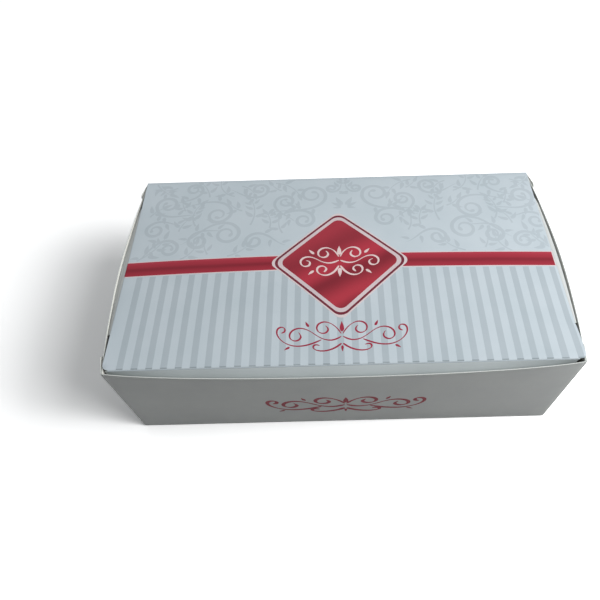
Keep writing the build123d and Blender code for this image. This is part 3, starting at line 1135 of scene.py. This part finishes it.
# Every stroke of the motif on the right of its axis.
def drawHalf(motif):
    strokes, nib = [], motif["nib"]
    for x, y, radius, opens, hand, stem, sway in motif.get("curls", ()):
        curlNib = nib * curlPen["nib"] + curlPen["nibGrowth"] * radius
        curl = drawCurl(x, y, radius, opens, hand, stem, sway, curlNib)
        strokes.append(curl)
        side = -hand
        for part in motif["leafOn"]:
            size = motif["leafSize"] * (curlPen["leafGrowth"] - part / 2)
            place = int(len(curl) * part) + 1
            strokes.append(leafBeside(curl, place, side, size, nib * curlPen["leafGap"]))
            side = -side
    for spray in motif.get("sprays", ()):
        strokes += drawSpray(*spray, nib)
    for x, y, size in motif.get("fans", ()):
        for spread, length in fanPen["leaves"]:
            angle, start = math.radians(90 - spread), size * fanPen["start"]
            strokes.append(drawLeaf(
                x + math.cos(angle) * start, y + math.sin(angle) * start,
                90 - spread, size * length, fanPen["bend"]))
    for points in motif.get("swashes", ()):
        strokes.append(drawSwash(points, nib))
    for leaf in motif.get("leaves", ()):
        strokes.append(drawLeaf(*leaf))
    return strokes


# Both halves' strokes as one flat sheet, at five heights in turn so that few coincide.
def penSheet(name, motif):
    nib = bpy.data.curves.new("nib", "CURVE")
    line = nib.splines.new("POLY")
    line.points.add(1)
    line.points[0].co = (-mm, 0, 0, 1)
    line.points[1].co = (mm, 0, 0, 1)
    nibObject = bpy.data.objects.new("nib", nib)
    drawing = bpy.data.curves.new(name, "CURVE")
    drawing.dimensions = "3D"
    drawing.twist_mode = "Z_UP"
    drawing.bevel_mode = "OBJECT"
    drawing.bevel_object = nibObject
    half = drawHalf(motif)
    centreX, centreY = motif["place"]
    scale = motif.get("scale", 1)
    for side in (1, -1):
        for number, stroke in enumerate(half):
            spline = drawing.splines.new("POLY")
            spline.points.add(len(stroke) - 1)
            for i, (x, y, width) in enumerate(stroke):
                level = (number + side) % pen["stackSteps"]
                rise = pen["stack"] * level + pen["rise"] * i / len(stroke)
                spline.points[i].co = (
                    (centreX + side * scale * x) * mm, (centreY + scale * y) * mm, rise * mm, 1)
                spline.points[i].radius = width * scale
    film = bpy.data.objects.new(name, drawing)
    bpy.context.scene.collection.objects.link(film)
    pick(film)
    bpy.ops.object.convert(target="MESH")
    film = bpy.context.object
    film.name = name
    bpy.data.objects.remove(nibObject)
    bpy.ops.object.shade_flat()
    return film


# The scrollwork fills the lid behind the ribbon and is cut off at its margins.
def makeScrollwork():
    film = penSheet("scrollInk", scroll)
    edge = lid["freeEdge"] - scroll["sideMargin"]
    rear, front = lid["rearY"] - scroll["endMargin"], ribbon["high"] + scroll["endMargin"]
    for through, normal in (((edge, 0), (1, 0)), ((-edge, 0), (-1, 0)),
                            ((0, rear), (0, 1)), ((0, front), (0, -1))):
        cutSheet(film, through, normal, True)
    layInk(film, ink["scrollHeight"], scroll["pen"])


def makeFlourishes():
    layInk(penSheet("badgeOrnament", badgeOrnament), ink["ornamentHeight"], badgeOrnament["pen"])
    layInk(penSheet("lidFlourish", lidFlourish), ink["penHeight"], lidFlourish["pen"])
    film = penSheet("wallFlourish", wallFlourish)
    for point in film.data.vertices:
        x, height, rise = (v / mm for v in point.co)
        point.co = (x * mm, (frontWallFace(x, height) - ink["penHeight"] - rise) * mm, height * mm)
    film.data.update()
    facesOut(film, (0, -1, 0))
    thickenFilm(film, wallFlourish["pen"], ink["thickness"])
    settle(film, "tray", "wall_print")


makeScrollwork()
makeFlourishes()
print("scrollwork and flourishes are printed")


# Folds that are carried over from the frame

for name, node in nodes.items():
    if node.hide_render:
        continue
    node.data.materials.clear()
    fold = "wallFold" if name.endswith(("base_crease", "corner_crease")) else "lidFold"
    node.data.materials.append(paints[fold])
print("folds are coloured")
